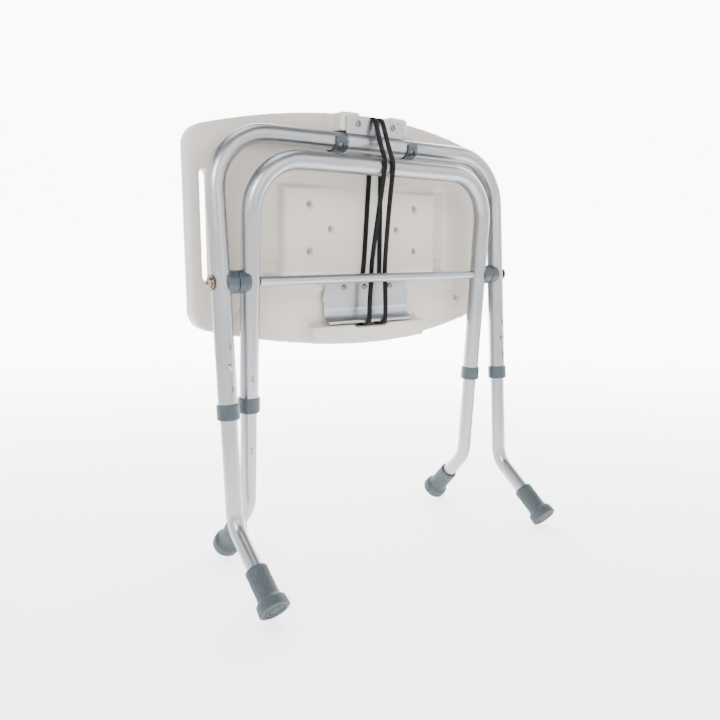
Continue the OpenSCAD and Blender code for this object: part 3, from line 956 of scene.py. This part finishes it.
def bowl_mesh():
    """A round floor that curves up into a wall, with its glow stored at each point."""
    profile = [(BOWL_FLAT * i / 24, 0.0) for i in range(25)]
    for i in range(1, 13):
        turn = math.radians(90 * i / 12)
        profile.append((BOWL_FLAT + BOWL_RISE * math.sin(turn), BOWL_RISE * (1 - math.cos(turn))))
    profile.append((BOWL_FLAT + BOWL_RISE, BOWL_RISE + BOWL_WALL))
    steps = 96
    spots, faces = [(0.0, 0.0, 0.0)], []
    for r, z in profile[1:]:
        spots += [(r * math.cos(2 * math.pi * i / steps), r * math.sin(2 * math.pi * i / steps), z)
                  for i in range(steps)]
    for i in range(steps):
        faces.append((0, 1 + i, 1 + (i + 1) % steps))
    for ring in range(len(profile) - 2):
        for i in range(steps):
            a, b = 1 + ring * steps + i, 1 + ring * steps + (i + 1) % steps
            faces.append((a, a + steps, b + steps, b))
    mesh = bpy.data.meshes.new("bowl")
    mesh.from_pydata(spots, [], faces)
    glow = mesh.attributes.new("glow", "FLOAT", "POINT")
    glow.data.foreach_set("value", [bowl_glow(x, y) for x, y, z in spots])
    return mesh


def bowl_material():
    """Plain white, shining as much as the glow stored in the mesh says."""
    made = finish_material("white_bowl", (0.86, 0.86, 0.86), 0.8, (300.0, 3.0, 0.01), bump=0.02)
    tree = made.node_tree
    shader = tree.nodes["Principled BSDF"]
    shader.inputs["Emission Color"].default_value = (1.0, 1.0, 1.0, 1.0)
    glow = add(tree, "ShaderNodeAttribute", attribute_name="glow")
    tree.links.new(glow.outputs["Fac"], shader.inputs["Emission Strength"])
    return made


LIGHTS = (
    # name, place, aim, size, watts
    ("key", (-1.9, -1.7, 1.9), (0.0, 0.0, 0.40), 0.9, 48.0),
    ("front", (0.35, -2.6, 1.1), (0.0, 0.0, 0.35), 0.9, 7.0),
    ("top", (-0.1, 0.1, 2.6), (0.0, 0.0, 0.3), 1.4, 22.0),
    ("back", (1.4, 2.2, 1.7), (0.0, 0.0, 0.35), 1.4, 14.0),
)


class STOOL_OT_stage(bpy.types.Operator):
    """Makes the white bowl and the soft lights"""

    bl_idname = "stool.stage"
    bl_label = "Stage"

    def execute(self, context):
        bowl = link_mesh("white_bowl", bowl_mesh(), bowl_material(), 60.0)
        for name, place, aim, size, watts in LIGHTS:
            light = bpy.data.lights.new(name, "AREA")
            light.size = size
            light.energy = watts
            obj = bpy.data.objects.new(name, light)
            obj.location = place
            aimed = Vector(aim) - Vector(place)
            obj.rotation_euler = aimed.to_track_quat("-Z", "Y").to_euler()
            context.scene.collection.objects.link(obj)
        world = bpy.data.worlds.new("studio")
        world.use_nodes = True
        sky = world.node_tree.nodes["Background"]
        sky.inputs["Color"].default_value = (1.0, 1.0, 1.0, 1.0)
        sky.inputs["Strength"].default_value = 0.4
        context.scene.world = world
        return {"FINISHED"}


class STOOL_PT_panel(bpy.types.Panel):
    """Lists the stool's pieces and settings"""

    bl_label = "Folding Shower Stool"
    bl_idname = "STOOL_PT_panel"
    bl_space_type = "VIEW_3D"
    bl_region_type = "UI"
    bl_category = "Stool"

    def draw(self, context):
        layout = self.layout
        for operator in OPERATORS:
            layout.operator(operator.bl_idname)
        for group in (context.scene.stool_colours, context.scene.stool_sizes):
            for key in group.bl_rna.properties.keys():
                if key not in ("rna_type", "name"):
                    layout.prop(group, key)


OPERATORS = (
    STOOL_OT_camera, STOOL_OT_finishes, STOOL_OT_seat, STOOL_OT_tips, STOOL_OT_loops, STOOL_OT_marks,
    STOOL_OT_stage,
)
CLASSES = (StoolColours, StoolSizes, *OPERATORS, STOOL_PT_panel)


def register():
    for cls in CLASSES:
        bpy.utils.register_class(cls)
    bpy.types.Scene.stool_colours = PointerProperty(type=StoolColours)
    bpy.types.Scene.stool_sizes = PointerProperty(type=StoolSizes)


def unregister():
    del bpy.types.Scene.stool_colours
    del bpy.types.Scene.stool_sizes
    for cls in reversed(CLASSES):
        bpy.utils.unregister_class(cls)


def main():
    register()
    bpy.ops.stool.camera()
    bpy.ops.stool.finishes()
    bpy.ops.stool.seat()
    bpy.ops.stool.tips()
    bpy.ops.stool.loops()
    bpy.ops.stool.marks()
    bpy.ops.stool.stage()


if __name__ == "__main__":
    main()
